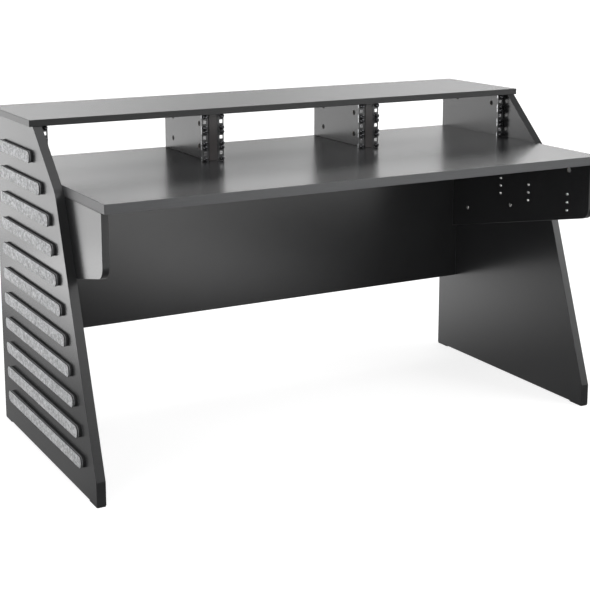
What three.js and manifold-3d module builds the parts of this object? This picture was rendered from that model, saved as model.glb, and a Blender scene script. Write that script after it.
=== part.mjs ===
// Studio desk: two slanted side panels, a deep worktop between them, and an upper shelf on two dividers that
// leaves three 3U rack bays open at the back. Millimetres. +Z up, the user sits on the -Y side, +X is the
// user's right. The origin is on the floor, in the middle of the desk's outer box.
import * as THREE from 'three';
import Module from 'manifold-3d';
import { mergeVertices } from 'three/addons/utils/BufferGeometryUtils.js';

// ---------------------------------------------------------------- driving dimensions
const SIDE_HALF = 787.5;         // outer faces of the side panels, from the middle plane
const PANEL_T = 25;              // side panels, worktop and dividers
const INNER_HALF = SIDE_HALF - PANEL_T;
const BACK_Y = 392;              // back edge of the side panels
const FOOT_H = 3;                // glides under the side panels
const SHELF_TOP = 925;
const SHELF_T = 18;
const SHELF_HALF = 797;
const SHELF_FRONT_Y = BACK_Y - 353.5;
const SHELF_BACK_Y = BACK_Y + 11.25;
const SHELF_BOTTOM = SHELF_TOP - SHELF_T;
const WORKTOP_TOP = 773;
const WORKTOP_BOTTOM = WORKTOP_TOP - PANEL_T;
const WORKTOP_FRONT_Y = BACK_Y - 795.25;
const WORKTOP_BACK_Y = BACK_Y - 21.5;

// side panel outline, y from the back edge (negative is forward) and z
const SIDE_TOP_FRONT = [-353, SHELF_BOTTOM];
const SIDE_KNEE = [-514, 756.5];
const SIDE_KNEE_R = 75;
const SIDE_TOE = [-755.5, 65];
const SIDE_TOE_R = 14;

// dividers and rack bays: 465.1 mm between the hole columns of each bay
const BAY_W = (2 * INNER_HALF - 2 * PANEL_T) / 3;
const DIVIDER_X = BAY_W / 2 + PANEL_T / 2;
const DIVIDER_FRONT_Y = BACK_Y - 335;
const DIVIDER_BACK_Y = BACK_Y - 25;
const UNIT = 44.45;
const UNIT_HOLES = [6.35, 22.225, 38.1];
const UNITS = 3;
const HOLE_SPAN = 465.1;
const RAIL_INSET = 1.5;          // the flange's face behind the divider's front edge
const RAIL_T = 2;
const RAIL_FLANGE = 21.6;
const RAIL_DEPTH = 28;
const RAIL_H = 133;
const RAIL_Z = WORKTOP_TOP + 0.4;
const RAIL_HOLE = 9.5;

// modesty panel and skirts
const MODESTY_T = 18;
const MODESTY_FRONT_Y = BACK_Y - 96;
const MODESTY_BOTTOM = 266;
const SKIRT_T = 18;
const SKIRT_FRONT = -773;        // from the side panel's back edge
const SKIRT_SLOPE = 0.215;
const SKIRT_FRONT_Z = 586.1;     // where the sloped bottom would meet the front edge
const SKIRT_R = 35;
const INSERT_Y = [-355, -493.5, -677];
const INSERT_Z = [594, 618.5, 643];
const INSERT_R = 3.3;
const INSERT_DEPTH = 12;
const SKIRT_BOLTS = [[-405, 564], [-180, 517]];
const BOLT_HEAD_R = 6.8;
const BOLT_HEAD_T = 2.2;
const BOLT_R = 3;
const BOLT_INTO_PANEL = 16;
const SKIRT_CAM = [-680, 716.5];

// cam locks that hold the shelf, the dividers and the worktop
const CAM_R = 7.5;
const CAM_BORE = 13;
const CAM_LEN = 12;
const CAM_SUNK = 0.6;
const CAM_FIT = 0.15;
const CAM_Y = { front: -270, rear: -85 };
const CAM_Z = { top: SHELF_BOTTOM - 34, bottom: WORKTOP_TOP + 35 };

// side strips
const STRIP_COUNT = 11;
const STRIP_T = 10;
const STRIP_H = 32.5;
const STRIP_R = 13;
const STRIP_PITCH = 73.42;
const STRIP_LOW = 74.1;           // bottom edge of the lowest strip
const STRIP_BACK = -71.2;
const STRIP_FRONT = [-673, -651, -625.5, -601.5, -576.5, -551, -525.5, -500.5, -475.5, -417, -340.5];

// floor glides
const GLIDE_L = 56;
const GLIDE_R = 4;

const EDGE = 1;                  // softened edge of the boards

// ---------------------------------------------------------------- solids
const wasm = await Module();
wasm.setup();

function solid(geometry) {
  let g = geometry.index ? geometry.toNonIndexed() : geometry.clone();
  g.deleteAttribute('normal');
  g.deleteAttribute('uv');
  g = mergeVertices(g, 1e-4);
  return new wasm.Manifold(new wasm.Mesh({
    numProp: 3,
    vertProperties: new Float32Array(g.attributes.position.array),
    triVerts: new Uint32Array(g.index.array),
  }));
}

function geometryOf(manifold) {
  const m = manifold.getMesh();
  let g = new THREE.BufferGeometry();
  const p = new Float32Array(m.numVert * 3);
  for (let i = 0; i < m.numVert; i++) for (let k = 0; k < 3; k++) p[3 * i + k] = m.vertProperties[i * m.numProp + k];
  g.setAttribute('position', new THREE.BufferAttribute(p, 3));
  g.setIndex(new THREE.BufferAttribute(new Uint32Array(m.triVerts), 1));
  g = g.toNonIndexed();
  g.computeVertexNormals();
  return g;
}

// A cylinder along X from x0 to x1, for bores and round pieces.
function rodX(r, x0, x1, y, z, sides = 16) {
  const g = new THREE.CylinderGeometry(r, r, Math.abs(x1 - x0), sides, 1);
  g.rotateZ(-Math.PI / 2);
  g.translate((x0 + x1) / 2, y, z);
  return g;
}

// Corners of an outline with some of them rounded: [x, y, radius].
function rounded(points, steps = 6) {
  const out = [];
  const n = points.length;
  for (let i = 0; i < n; i++) {
    const [x, y, r] = points[i];
    if (!r) { out.push(new THREE.Vector2(x, y)); continue; }
    const p = new THREE.Vector2(x, y);
    const a = new THREE.Vector2(...points[(i + n - 1) % n].slice(0, 2)).sub(p).normalize();
    const b = new THREE.Vector2(...points[(i + 1) % n].slice(0, 2)).sub(p).normalize();
    const half = Math.acos(THREE.MathUtils.clamp(a.dot(b), -1, 1)) / 2;
    const reach = r / Math.tan(half);
    const centre = p.clone().add(a.clone().add(b).normalize().multiplyScalar(r / Math.sin(half)));
    const s = p.clone().add(a.multiplyScalar(reach)).sub(centre);
    const e = p.clone().add(b.multiplyScalar(reach)).sub(centre);
    let turn = Math.atan2(e.y, e.x) - Math.atan2(s.y, s.x);
    while (turn > Math.PI) turn -= 2 * Math.PI;
    while (turn < -Math.PI) turn += 2 * Math.PI;
    for (let k = 0; k <= steps; k++) {
      const t = Math.atan2(s.y, s.x) + turn * k / steps;
      out.push(new THREE.Vector2(centre.x + r * Math.cos(t), centre.y + r * Math.sin(t)));
    }
  }
  return out;
}

// A board: an outline of thickness t, its edges softened, lying in the XY plane from z = 0 to z = t.
function board(outline, t, soft = EDGE) {
  const shape = new THREE.Shape(outline);
  if (!soft) return new THREE.ExtrudeGeometry(shape, { depth: t, bevelEnabled: false, curveSegments: 8 });
  const g = new THREE.ExtrudeGeometry(shape, {
    depth: t - 2 * soft, bevelEnabled: true, bevelThickness: soft, bevelSize: soft, bevelOffset: -soft,
    bevelSegments: 1, curveSegments: 8,
  });
  g.translate(0, 0, soft);
  return g;
}

// An outline in (y, z) becomes a board between x0 and x0 + t.
const STAND = new THREE.Matrix4().makeBasis(
  new THREE.Vector3(0, 1, 0), new THREE.Vector3(0, 0, 1), new THREE.Vector3(1, 0, 0));
function upright(outline, x0, t, soft) {
  const g = board(outline, t, soft);
  g.applyMatrix4(STAND);
  g.translate(x0, 0, 0);
  return g;
}

// A rectangular board between two corners, softened on all edges, lying flat or standing.
function slab(x0, x1, y0, y1, z0, z1, soft = EDGE) {
  const g = board([
    new THREE.Vector2(x0, y0), new THREE.Vector2(x1, y0), new THREE.Vector2(x1, y1), new THREE.Vector2(x0, y1),
  ], z1 - z0, soft);
  g.translate(0, 0, z0);
  return g;
}

// ---------------------------------------------------------------- materials
const mat = (color, roughness, metalness = 0) => new THREE.MeshStandardMaterial({ color, roughness, metalness });
const LAMINATE = () => mat(0x232325, 0.32);
const FELT = () => mat(0x9c9ca0, 0.95);
const RAIL = () => mat(0x121213, 0.42, 0.3);
const GLIDE = () => mat(0x161616, 0.6);
const ZINC = () => mat(0xb4b6ba, 0.35, 0.9);
const NICKEL = () => mat(0xc9cacd, 0.25, 1.0);

const desk = new THREE.Group();
desk.name = 'studio_desk';
function add(name, geometry, material, parent = desk) {
  const mesh = new THREE.Mesh(geometry, material);
  mesh.name = name;
  parent.add(mesh);
  return mesh;
}
const y_ = (y) => BACK_Y + y;    // from the side panel's back edge to the desk's frame

// ---------------------------------------------------------------- side panels
function sideOutline() {
  return rounded([
    [y_(0), FOOT_H, 0],
    [y_(0), SHELF_BOTTOM, 0],
    [y_(SIDE_TOP_FRONT[0]), SIDE_TOP_FRONT[1], 0],
    [y_(SIDE_KNEE[0]), SIDE_KNEE[1], SIDE_KNEE_R],
    [y_(SIDE_TOE[0]), SIDE_TOE[1], SIDE_TOE_R],
    [y_(SIDE_TOE[0]), FOOT_H, 0],
  ].reverse(), 5);
}

// Cam locks: which face each one is in. s is the side the face looks to.
const cams = [];
for (const [name, x, s, levels] of [
  ['side_left', -INNER_HALF, 1, ['top']],
  ['side_right', INNER_HALF, -1, ['top']],
  ['divider_left', -DIVIDER_X - PANEL_T / 2, -1, ['top', 'bottom']],
  ['divider_right', DIVIDER_X - PANEL_T / 2, -1, ['top', 'bottom']],
]) for (const level of levels) for (const where of ['front', 'rear']) {
  cams.push({ host: name, name: `cam_${name}_${level}_${where}`, x, s, y: y_(CAM_Y[where]), z: CAM_Z[level] });
}
for (const s of [-1, 1]) {
  cams.push({
    host: s < 0 ? 'skirt_left' : 'skirt_right', name: s < 0 ? 'cam_skirt_left' : 'cam_skirt_right',
    x: s * (INNER_HALF - SKIRT_T), s: -s, y: y_(SKIRT_CAM[0]), z: SKIRT_CAM[1],
  });
}

function boreCams(body, host) {
  for (const c of cams.filter((c) => c.host === host)) {
    body = body.subtract(solid(rodX(CAM_R, c.x + c.s, c.x - c.s * CAM_BORE, c.y, c.z, 20)));
  }
  return body;
}

for (const s of [-1, 1]) {
  const side = s < 0 ? 'left' : 'right';
  let body = solid(upright(sideOutline(), s < 0 ? -SIDE_HALF : INNER_HALF, PANEL_T));
  body = boreCams(body, `side_${side}`);
  for (const [by, bz] of SKIRT_BOLTS) {
    body = body.subtract(solid(rodX(BOLT_R + 0.2, s * (INNER_HALF - 1), s * (INNER_HALF + BOLT_INTO_PANEL + 1), y_(by), bz, 12)));
  }
  add(`side_panel_${side}`, geometryOf(body), LAMINATE());
}

// ---------------------------------------------------------------- worktop, shelf, modesty panel
add('worktop', slab(-INNER_HALF, INNER_HALF, WORKTOP_FRONT_Y, WORKTOP_BACK_Y, WORKTOP_BOTTOM, WORKTOP_TOP), LAMINATE());
add('upper_shelf', slab(-SHELF_HALF, SHELF_HALF, SHELF_FRONT_Y, SHELF_BACK_Y, SHELF_BOTTOM, SHELF_TOP), LAMINATE());
add('modesty_panel', slab(-INNER_HALF, INNER_HALF, MODESTY_FRONT_Y, MODESTY_FRONT_Y + MODESTY_T, MODESTY_BOTTOM, WORKTOP_BOTTOM), LAMINATE());

// ---------------------------------------------------------------- dividers between the rack bays
for (const s of [-1, 1]) {
  const side = s < 0 ? 'left' : 'right';
  const outline = [
    [DIVIDER_FRONT_Y, WORKTOP_TOP], [DIVIDER_BACK_Y, WORKTOP_TOP], [DIVIDER_BACK_Y, SHELF_BOTTOM], [DIVIDER_FRONT_Y, SHELF_BOTTOM],
  ].map((p) => new THREE.Vector2(...p));
  let body = solid(upright(outline, s * DIVIDER_X - PANEL_T / 2, PANEL_T));
  body = boreCams(body, `divider_${side}`);
  add(`divider_${side}`, geometryOf(body), LAMINATE());
}

// ---------------------------------------------------------------- skirts under the ends of the worktop
for (const s of [-1, 1]) {
  const side = s < 0 ? 'left' : 'right';
  const back = -96;
  const outline = rounded([
    [y_(SKIRT_FRONT), WORKTOP_BOTTOM, 0],
    [y_(SKIRT_FRONT), SKIRT_FRONT_Z, SKIRT_R],
    [y_(back), SKIRT_FRONT_Z - SKIRT_SLOPE * (back - SKIRT_FRONT), 0],
    [y_(back), WORKTOP_BOTTOM, 0],
  ], 8);
  const inner = s * (INNER_HALF - SKIRT_T);
  let body = solid(upright(outline, s < 0 ? -INNER_HALF : INNER_HALF - SKIRT_T, SKIRT_T));
  for (const iy of INSERT_Y) for (const iz of INSERT_Z) {
    body = body.subtract(solid(rodX(INSERT_R, inner - s, inner + s * INSERT_DEPTH, y_(iy), iz, 10)));
  }
  for (const [by, bz] of SKIRT_BOLTS) {
    body = body.subtract(solid(rodX(BOLT_R + 0.2, inner - s, inner + s * (SKIRT_T + 1), y_(by), bz, 12)));
  }
  body = boreCams(body, `skirt_${side}`);
  add(`skirt_${side}`, geometryOf(body), LAMINATE());

  // connector bolts: a flat head on the skirt's inner face, the shank through it into the side panel
  SKIRT_BOLTS.forEach(([by, bz], i) => {
    const face = inner;
    const head = solid(rodX(BOLT_HEAD_R, face - s * BOLT_HEAD_T, face - s * 0.02, y_(by), bz, 20));
    const shank = solid(rodX(BOLT_R, face - s, face + s * (SKIRT_T + BOLT_INTO_PANEL - 0.5), y_(by), bz, 12));
    const key = solid(rodX(2.3, face - s * (BOLT_HEAD_T + 1), face - s * 0.6, y_(by), bz, 6));
    add(`skirt_bolt_${side}_${i ? 'rear' : 'front'}`, geometryOf(head.add(shank).subtract(key)), NICKEL());
  });
}

// ---------------------------------------------------------------- cam locks
for (const c of cams) {
  const out = c.x - c.s * CAM_SUNK;
  const into = out - c.s * CAM_LEN;
  let body = solid(rodX(CAM_R - CAM_FIT, out, into, c.y, c.z, 20));
  for (const tilt of [0, Math.PI / 2]) {
    const slot = new THREE.BoxGeometry(4, 8.4, 1.8);
    slot.rotateX(tilt + Math.PI / 4);
    slot.translate(out, c.y, c.z);
    body = body.subtract(solid(slot));
  }
  add(c.name, geometryOf(body), ZINC());
}

// ---------------------------------------------------------------- rack rails
// s is the side of the bay that the rail is on; x is the face that it is screwed to.
function rail(x, s) {
  const front = DIVIDER_FRONT_Y + RAIL_INSET;
  const edge = x - s * RAIL_FLANGE;
  const lo = Math.min(x, edge), hi = Math.max(x, edge);
  const shape = new THREE.Shape([
    new THREE.Vector2(lo, RAIL_Z), new THREE.Vector2(hi, RAIL_Z), new THREE.Vector2(hi, RAIL_Z + RAIL_H), new THREE.Vector2(lo, RAIL_Z + RAIL_H),
  ]);
  const column = x - s * (BAY_W - HOLE_SPAN) / 2;
  for (let u = 0; u < UNITS; u++) for (const h of UNIT_HOLES) {
    const z = WORKTOP_TOP + 0.2 + u * UNIT + h, r = RAIL_HOLE / 2;
    shape.holes.push(new THREE.Path([
      new THREE.Vector2(column - r, z - r), new THREE.Vector2(column - r, z + r), new THREE.Vector2(column + r, z + r), new THREE.Vector2(column + r, z - r),
    ]));
  }
  const flange = new THREE.ExtrudeGeometry(shape, { depth: RAIL_T, bevelEnabled: false });
  flange.rotateX(Math.PI / 2);   // the shape's y is z, its depth runs towards -Y
  flange.translate(0, front + RAIL_T, 0);
  const sx = s < 0 ? x : x - RAIL_T;
  const leg = new THREE.BoxGeometry(RAIL_T, RAIL_DEPTH, RAIL_H);
  leg.translate(sx + RAIL_T / 2, front + RAIL_DEPTH / 2, RAIL_Z + RAIL_H / 2);
  let body = solid(flange).add(solid(leg));
  for (const z of [20, RAIL_H / 2, RAIL_H - 20]) {
    body = body.subtract(solid(rodX(2.3, x - s * (RAIL_T + 1), x + s * 1, front + RAIL_DEPTH - 10, RAIL_Z + z, 12)));
  }
  return body;
}
const faces = [
  ['bay_left', -INNER_HALF, -DIVIDER_X - PANEL_T / 2],
  ['bay_centre', -DIVIDER_X + PANEL_T / 2, DIVIDER_X - PANEL_T / 2],
  ['bay_right', DIVIDER_X + PANEL_T / 2, INNER_HALF],
];
for (const [bay, left, right] of faces) {
  add(`rack_rail_${bay}_left`, geometryOf(rail(left, -1)), RAIL());
  add(`rack_rail_${bay}_right`, geometryOf(rail(right, 1)), RAIL());
}

// ---------------------------------------------------------------- side strips
for (const s of [-1, 1]) {
  const side = s < 0 ? 'left' : 'right';
  for (let i = 0; i < STRIP_COUNT; i++) {
    const z0 = STRIP_LOW + i * STRIP_PITCH;
    const outline = rounded([
      [y_(STRIP_FRONT[i]), z0, STRIP_R], [y_(STRIP_BACK), z0, STRIP_R],
      [y_(STRIP_BACK), z0 + STRIP_H, STRIP_R], [y_(STRIP_FRONT[i]), z0 + STRIP_H, STRIP_R],
    ], 5);
    const g = upright(outline, s < 0 ? -SIDE_HALF - STRIP_T : SIDE_HALF, STRIP_T, 0);
    add(`side_strip_${side}_${String(i + 1).padStart(2, '0')}`, g, FELT());
  }
}

// ---------------------------------------------------------------- floor glides
for (const s of [-1, 1]) for (const where of ['front', 'rear']) {
  const side = s < 0 ? 'left' : 'right';
  const y0 = where === 'front' ? y_(SIDE_TOE[0]) : y_(0) - GLIDE_L;
  const x0 = s < 0 ? -SIDE_HALF : INNER_HALF;
  const outline = rounded([
    [x0, y0, GLIDE_R], [x0 + PANEL_T, y0, GLIDE_R], [x0 + PANEL_T, y0 + GLIDE_L, GLIDE_R], [x0, y0 + GLIDE_L, GLIDE_R],
  ], 4);
  const g = board(outline, FOOT_H, 0);
  add(`glide_${side}_${where}`, g, GLIDE());
}

export default desk;
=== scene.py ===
"""Studio desk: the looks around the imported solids. Metres, +Z up, the user on the -Y side, +X the user's right."""
import math

import bmesh
import bpy
from mathutils import Matrix, Vector, noise


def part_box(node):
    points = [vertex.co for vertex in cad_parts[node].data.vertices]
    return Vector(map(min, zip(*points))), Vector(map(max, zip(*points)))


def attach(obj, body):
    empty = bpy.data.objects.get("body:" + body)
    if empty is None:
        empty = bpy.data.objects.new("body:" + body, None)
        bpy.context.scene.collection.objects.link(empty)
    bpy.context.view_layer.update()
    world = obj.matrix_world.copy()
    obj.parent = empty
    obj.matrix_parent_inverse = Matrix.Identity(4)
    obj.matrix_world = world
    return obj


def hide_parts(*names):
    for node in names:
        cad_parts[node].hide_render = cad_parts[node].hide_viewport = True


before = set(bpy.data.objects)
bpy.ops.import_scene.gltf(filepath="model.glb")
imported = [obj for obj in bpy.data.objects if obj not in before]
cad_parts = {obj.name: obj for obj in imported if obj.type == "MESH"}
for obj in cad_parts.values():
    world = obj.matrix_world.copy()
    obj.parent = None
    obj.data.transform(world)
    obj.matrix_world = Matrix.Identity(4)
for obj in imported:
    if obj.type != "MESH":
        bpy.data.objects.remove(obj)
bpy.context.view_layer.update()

scene = bpy.context.scene
MM = 0.001


# ---------------------------------------------------------------- camera, at the photograph's viewing angle
def make_camera():
    yaw, pitch, focal = 0.5039, 0.1881, 1347.2  # radians, radians, pixels of the 590 x 591 picture
    data = bpy.data.cameras.new("camera")
    obj = bpy.data.objects.new("camera", data)
    scene.collection.objects.link(obj)
    data.sensor_fit = "AUTO"
    data.sensor_width = 36.0
    data.lens = focal / 591 * 36
    data.shift_x = 0.0
    data.shift_y = (197.5 - 295.5) / 591
    forward = Vector((math.sin(yaw) * math.cos(pitch), math.cos(yaw) * math.cos(pitch), -math.sin(pitch)))
    right = Vector((math.cos(yaw), -math.sin(yaw), 0))
    up = right.cross(forward)
    turn = Matrix((right, up, -forward)).transposed()
    obj.matrix_world = Matrix.Translation((-1.8737, -3.3507, 1.3840)) @ turn.to_4x4()
    data.clip_start, data.clip_end = 0.05, 200
    scene.camera = obj
    return obj


camera = make_camera()


# ---------------------------------------------------------------- material kit
class Nodes:
    """Short ways to add nodes to a shader tree."""

    def __init__(self, tree):
        self.tree = tree
        self.tree.nodes.clear()

    def node(self, kind):
        return self.tree.nodes.new(kind)

    def link(self, a, b):
        self.tree.links.new(a, b)

    def span(self, source, low, high, to_low=0.0, to_high=1.0, soft=False):
        n = self.node("ShaderNodeMapRange")
        n.clamp = True
        n.interpolation_type = "SMOOTHSTEP" if soft else "LINEAR"
        for socket, value in (("From Min", low), ("From Max", high), ("To Min", to_low), ("To Max", to_high)):
            n.inputs[socket].default_value = value
        self.link(source, n.inputs["Value"])
        return n.outputs["Result"]

    def math(self, kind, *values):
        n = self.node("ShaderNodeMath")
        n.operation = kind
        for i, v in enumerate(values):
            if hasattr(v, "links"):
                self.link(v, n.inputs[i])
            else:
                n.inputs[i].default_value = v
        return n.outputs[0]

    def window(self, source, low, high, soft):
        """1 between low and high, 0 outside, with soft ends."""
        return self.math("MULTIPLY", self.span(source, low - soft, low + soft, 0, 1, True), self.span(source, high - soft, high + soft, 1, 0, True))

    def mix(self, factor, a, b, blend="MIX"):
        n = self.node("ShaderNodeMix")
        n.data_type = "RGBA"
        n.blend_type = blend
        n.clamp_factor = True
        sockets = {s.identifier: s for s in n.inputs}
        for key, v in (("Factor_Float", factor), ("A_Color", a), ("B_Color", b)):
            if hasattr(v, "links"):
                self.link(v, sockets[key])
            elif key == "Factor_Float":
                sockets[key].default_value = v
            else:
                sockets[key].default_value = (*v, 1.0)
        return next(s for s in n.outputs if s.identifier == "Result_Color")


class Finish(Nodes):
    """A procedural material: one Principled shader and the nodes that feed it. Coordinates are the row frame's, in metres."""

    def __init__(self, name, roughness=0.5, metallic=0.0, specular=0.5, ior=1.5):
        self.mat = bpy.data.materials.new(name)
        self.mat.use_nodes = True
        super().__init__(self.mat.node_tree)
        self.out = self.node("ShaderNodeOutputMaterial")
        self.shader = self.node("ShaderNodeBsdfPrincipled")
        self.link(self.shader.outputs[0], self.out.inputs[0])
        self.set("Roughness", roughness)
        self.set("Metallic", metallic)
        self.set("Specular IOR Level", specular)
        self.set("IOR", ior)
        self.coords = self.node("ShaderNodeTexCoord").outputs["Object"]

    def set(self, socket, value):
        self.shader.inputs[socket].default_value = value

    def feed(self, socket, source):
        self.link(source, self.shader.inputs[socket])

    def place(self, stretch=(1, 1, 1), turn=(0, 0, 0), shift=(0, 0, 0)):
        n = self.node("ShaderNodeMapping")
        n.inputs["Scale"].default_value = stretch
        n.inputs["Rotation"].default_value = turn
        n.inputs["Location"].default_value = shift
        self.link(self.coords, n.inputs["Vector"])
        return n.outputs[0]

    def noise(self, scale, detail=2.0, roughness=0.5, distortion=0.0, at=None):
        n = self.node("ShaderNodeTexNoise")
        n.inputs["Scale"].default_value = scale
        n.inputs["Detail"].default_value = detail
        n.inputs["Roughness"].default_value = roughness
        n.inputs["Distortion"].default_value = distortion
        self.link(at or self.coords, n.inputs["Vector"])
        return n.outputs["Fac"]

    def cells(self, scale, feature="F1", at=None, output="Distance", randomness=1.0):
        n = self.node("ShaderNodeTexVoronoi")
        n.feature = feature
        n.inputs["Scale"].default_value = scale
        n.inputs["Randomness"].default_value = randomness
        self.link(at or self.coords, n.inputs["Vector"])
        return n.outputs[output]

    def bump(self, height, distance, strength=1.0, after=None):
        n = self.node("ShaderNodeBump")
        n.inputs["Strength"].default_value = strength
        n.inputs["Distance"].default_value = distance
        self.link(height, n.inputs["Height"])
        if after is not None:
            self.link(after, n.inputs["Normal"])
        return n.outputs[0]


def grey(v, tint=0.0):
    """A grey with a little blue in it."""
    return (v * (1 - tint), v * (1 - 0.4 * tint), v * (1 + tint))


def laminate():
    f = Finish("laminate_anthracite")
    grain = f.noise(820, 3, 0.6)
    cloud = f.noise(5.5, 3, 0.55, 0.3)
    fleck = f.span(f.noise(1900, 1, 0.5), 0.62, 0.74)
    base = f.mix(f.span(grain, 0.32, 0.68), grey(0.0145, 0.03), grey(0.0215, 0.03))
    base = f.mix(f.math("MULTIPLY", fleck, 0.35), base, grey(0.038, 0.02))
    base = f.mix(f.span(cloud, 0.35, 0.7), base, f.mix(0.5, base, grey(0.024, 0.03)))
    f.feed("Base Color", base)
    smear = f.span(f.noise(11, 4, 0.6, 0.8, f.place((1, 0.35, 1))), 0.35, 0.75, -0.002, 0.003)
    rough = f.math("ADD", f.span(grain, 0.3, 0.7, 0.220, 0.260), smear)
    f.feed("Roughness", rough)
    pearl = f.noise(1500, 2, 0.55)
    wave = f.noise(26, 2, 0.5)
    f.feed("Normal", f.bump(pearl, 0.000003, 0.3, after=f.bump(wave, 0.000006, 0.1)))
    return f.mat


def edge_band(name="edge_band_anthracite", low=grey(0.015, 0.03), high=grey(0.022, 0.03), dull=0.0):
    f = Finish(name)
    line = f.noise(140, 3, 0.6, 0, f.place((0.12, 0.12, 6.0)))
    grain = f.noise(950, 2, 0.6)
    scuff = f.span(f.noise(60, 5, 0.75, 1.2), 0.66, 0.76)
    base = f.mix(f.span(line, 0.3, 0.7), low, high)
    base = f.mix(f.math("MULTIPLY", scuff, 0.45), base, grey(0.065, 0.02))
    f.feed("Base Color", base)
    rough = f.span(grain, 0.3, 0.7, 0.30 + dull, 0.36 + dull)
    f.feed("Roughness", f.math("ADD", rough, f.math("MULTIPLY", scuff, 0.12)))
    f.feed("Normal", f.bump(grain, 0.000012, 0.5, after=f.bump(line, 0.00003, 0.4)))
    return f.mat


def board_core_painted_shade():
    f = Finish("board_core_painted_shade", roughness=0.9)
    chips = f.cells(420, "F1", output="Color")
    dust = f.noise(900, 3)
    # The brown is darkened as painted shade: this core shows only in the bores, which lie in shade.
    base = f.mix(f.span(dust, 0.3, 0.7), (0.13, 0.088, 0.056), (0.22, 0.16, 0.107))
    f.feed("Base Color", f.mix(0.25, base, chips, "OVERLAY"))
    f.feed("Normal", f.bump(f.cells(420), 0.0003, 0.8))
    return f.mat


def felt_face():
    f = Finish("felt_light_grey", roughness=0.95, specular=0.12)
    tuft = f.noise(150, 2, 0.55, 0.9, f.place((1, 0.75, 1), (0.5, 0, 0)))
    clump = f.noise(60, 2, 0.5, 0.4)
    fibre_a = f.noise(520, 3, 0.7, 1.6, f.place((1, 0.25, 1), (0.5, 0, 0)))
    fibre_b = f.noise(600, 3, 0.7, 1.6, f.place((1, 1, 0.28), (-0.6, 0, 0)))
    fleck = f.cells(300, "F1", f.place((1, 0.5, 1), (0.3, 0, 0)))
    strands = f.math("MULTIPLY", f.math("ADD", fibre_a, fibre_b), 0.5)
    base = f.mix(f.span(strands, 0.38, 0.62), grey(0.20, 0.02), grey(0.66, 0.015))
    light = f.math("ADD", f.span(tuft, 0.38, 0.62, 0.0, 0.85), f.span(clump, 0.35, 0.65, -0.12, 0.2))
    base = f.mix(light, f.mix(0.6, base, grey(0.21, 0.02)), f.mix(0.6, base, grey(0.86, 0.01)))
    base = f.mix(f.span(fleck, 0.10, 0.24, 0.5, 0.0), base, grey(0.18, 0.02))
    f.feed("Base Color", base)
    f.set("Sheen Weight", 0.25)
    f.set("Sheen Roughness", 0.5)
    f.feed("Normal", f.bump(strands, 0.0009, 0.7, after=f.bump(tuft, 0.0020, 0.6)))
    return f.mat


def felt_edge_painted_light():
    """The strip seen from its edge, by the distance from the side panel's face: dark walls, partly the cut felt's own
    darker tone and partly painted shade, with lighter bands in the middle and at the rim as painted highlights.
    """
    f = Finish("felt_cut_edge_painted_shade_and_highlights", roughness=0.95, specular=0.2)
    xyz = f.node("ShaderNodeSeparateXYZ")
    f.link(f.coords, xyz.inputs[0])
    clump = f.noise(170, 4, 0.65)
    depth = f.math("MULTIPLY_ADD", f.math("SUBTRACT", f.math("ABSOLUTE", xyz.outputs[0]), 0.7875), 1000.0, f.span(clump, 0.2, 0.8, -0.45, 0.45))
    layer = f.noise(500, 3, 0.7, 0.5, f.place((4, 0.35, 0.35)))
    fibre = f.span(layer, 0.35, 0.65)
    # dark walls: partly the cut felt's own darker tone, partly painted shade on the strip's sides
    base = f.mix(fibre, grey(0.018, 0.02), grey(0.042, 0.02))
    # a lighter band in the middle of the wall: a painted highlight
    base = f.mix(f.window(depth, 4.6, 7.3, 0.4), base, f.mix(fibre, grey(0.20, 0.02), grey(0.40, 0.02)))
    # a lighter band at the rim: a painted highlight
    base = f.mix(f.window(depth, 9.6, 10.8, 0.25), base, f.mix(fibre, grey(0.16, 0.02), grey(0.30, 0.02)))
    f.feed("Base Color", base)
    f.feed("Normal", f.bump(layer, 0.0008, 0.7, after=f.bump(clump, 0.0008, 0.5)))
    return f.mat


def backing():
    f = Finish("backing_black", roughness=0.75, specular=0.3)
    pores = f.noise(1100, 3, 0.6)
    base = f.mix(f.span(pores, 0.35, 0.65), grey(0.022), grey(0.045))
    f.feed("Base Color", base)
    f.feed("Roughness", f.span(pores, 0.3, 0.7, 0.68, 0.85))
    f.feed("Normal", f.bump(pores, 0.0002, 0.6))
    return f.mat


def powder_coat():
    f = Finish("powder_coat_black")
    orange = f.noise(1300, 3, 0.6)
    broad = f.noise(45, 3, 0.5)
    base = f.mix(f.span(orange, 0.35, 0.65), grey(0.045, 0.02), grey(0.070, 0.02))
    f.feed("Base Color", base)
    f.feed("Roughness", f.math("ADD", f.span(orange, 0.3, 0.7, 0.28, 0.38), f.span(broad, 0.3, 0.7, -0.02, 0.02)))
    f.set("Coat Weight", 0.35)
    f.set("Coat Roughness", 0.3)
    f.feed("Normal", f.bump(orange, 0.00004, 0.5))
    return f.mat


def black_plastic():
    f = Finish("plastic_black_moulded")
    grain = f.noise(1600, 2, 0.5)
    base = f.mix(f.span(grain, 0.3, 0.7), grey(0.012), grey(0.022))
    f.feed("Base Color", base)
    f.feed("Roughness", f.span(grain, 0.3, 0.7, 0.24, 0.34))
    f.feed("Normal", f.bump(grain, 0.00003, 0.5))
    return f.mat


def black_steel():
    f = Finish("steel_black_oxide", metallic=1.0)
    turned = f.noise(900, 3, 0.6)
    worn = f.span(f.noise(420, 4, 0.7), 0.60, 0.72)
    base = f.mix(f.span(turned, 0.3, 0.7), (0.06, 0.06, 0.064), (0.11, 0.11, 0.117))
    f.feed("Base Color", f.mix(f.math("MULTIPLY", worn, 0.4), base, (0.22, 0.22, 0.23)))
    f.feed("Roughness", f.span(turned, 0.3, 0.7, 0.14, 0.24))
    f.feed("Normal", f.bump(turned, 0.00002, 0.4))
    return f.mat


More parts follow.
